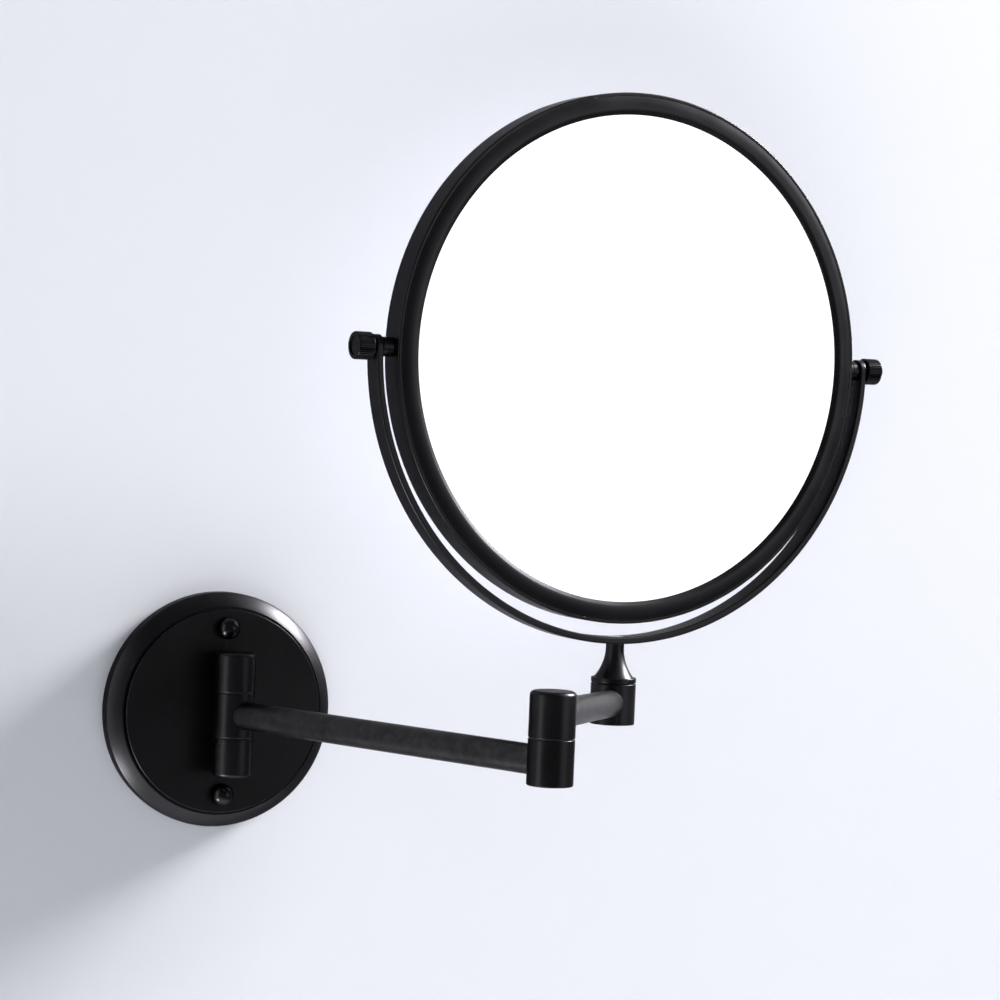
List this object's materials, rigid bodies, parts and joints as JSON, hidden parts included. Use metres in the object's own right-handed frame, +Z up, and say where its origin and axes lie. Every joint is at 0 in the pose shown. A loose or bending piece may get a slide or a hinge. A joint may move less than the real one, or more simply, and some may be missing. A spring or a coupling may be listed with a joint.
{
  "type": "wall-mounted extendable shaving mirror",
  "caption": "Round two-sided mirror tilting in a half-ring yoke on a folding double arm, with a round plate that fixes it to a wall.",
  "frame": {"origin": "centre of the wall plate's back, on the wall", "axes": "+X to the right along the wall, +Y into the wall, +Z up; the arms reach out along -Y"},
  "size_m": [0.3235, 0.1832, 0.2961],
  "materials": {
    "black_metal": "satin black",
    "zinc_steel": "zinc plated",
    "bare_steel": "ground",
    "nylon": "black nylon",
    "mirror_glass": "silvered glass",
    "core_plastic": "matt black"
  },
  "bodies": {
    "wall_mount": {"wall_plate": "black_metal", "wall_bracket": "zinc_steel", "wall_studs": "zinc_steel", "dome_nuts": "black_metal", "hinge_upper_ear": "black_metal", "hinge_lower_ear": "black_metal", "hinge_pin": "bare_steel", "ear_screws": "zinc_steel", "hinge_washers": "nylon"},
    "inner_arm": {"swivel_barrel": "black_metal", "inner_arm_tube": "black_metal", "elbow_lower": "black_metal", "elbow_bolt": "bare_steel", "elbow_washer": "nylon"},
    "outer_arm": {"elbow_upper": "black_metal", "elbow_cap": "black_metal", "outer_arm_tube": "black_metal", "head_barrel": "black_metal"},
    "yoke": {"yoke_stem": "black_metal", "head_washer": "nylon", "head_retainer": "zinc_steel", "head_screw": "zinc_steel", "yoke_ring": "black_metal", "yoke_screw": "zinc_steel"},
    "mirror": {"frame_band": "black_metal", "frame_core": "core_plastic", "front_bezel": "black_metal", "back_bezel": "black_metal", "flat_glass": "mirror_glass", "magnifying_glass": "mirror_glass", "backing_board": "core_plastic", "pivot_bosses": "black_metal"},
    "knob_left": {"knob_left": "black_metal"},
    "knob_right": {"knob_right": "black_metal"}
  },
  "joints": [
    {"name": "wall_swivel", "type": "hinge", "parent": "wall_mount", "child": "inner_arm", "pos_m": [0, -0.022, 0], "axis": [0, 0, 1], "range_deg": [-110, 67]},
    {"name": "elbow_swivel", "type": "hinge", "parent": "inner_arm", "child": "outer_arm", "pos_m": [0.06208, -0.17488, 0], "axis": [0, 0, 1], "range_deg": [-280, 30]},
    {"name": "head_swivel", "type": "hinge", "parent": "outer_arm", "child": "yoke", "pos_m": [0.1553, -0.03873, 0], "axis": [0, 0, 1], "continuous": true},
    {"name": "mirror_tilt", "type": "hinge", "parent": "yoke", "child": "mirror", "pos_m": [0.1553, -0.03873, 0.1441], "axis": [0.9976, 0.0698, 0], "continuous": true},
    {"name": "knob_left_turn", "type": "hinge", "parent": "mirror", "child": "knob_left", "pos_m": [0.03758, -0.04696, 0.1441], "axis": [-0.9976, -0.0698, 0], "range_deg": [0, 540]},
    {"name": "knob_right_turn", "type": "hinge", "parent": "mirror", "child": "knob_right", "pos_m": [0.27301, -0.0305, 0.1441], "axis": [0.9976, 0.0698, 0], "range_deg": [0, 540]}
  ]
}
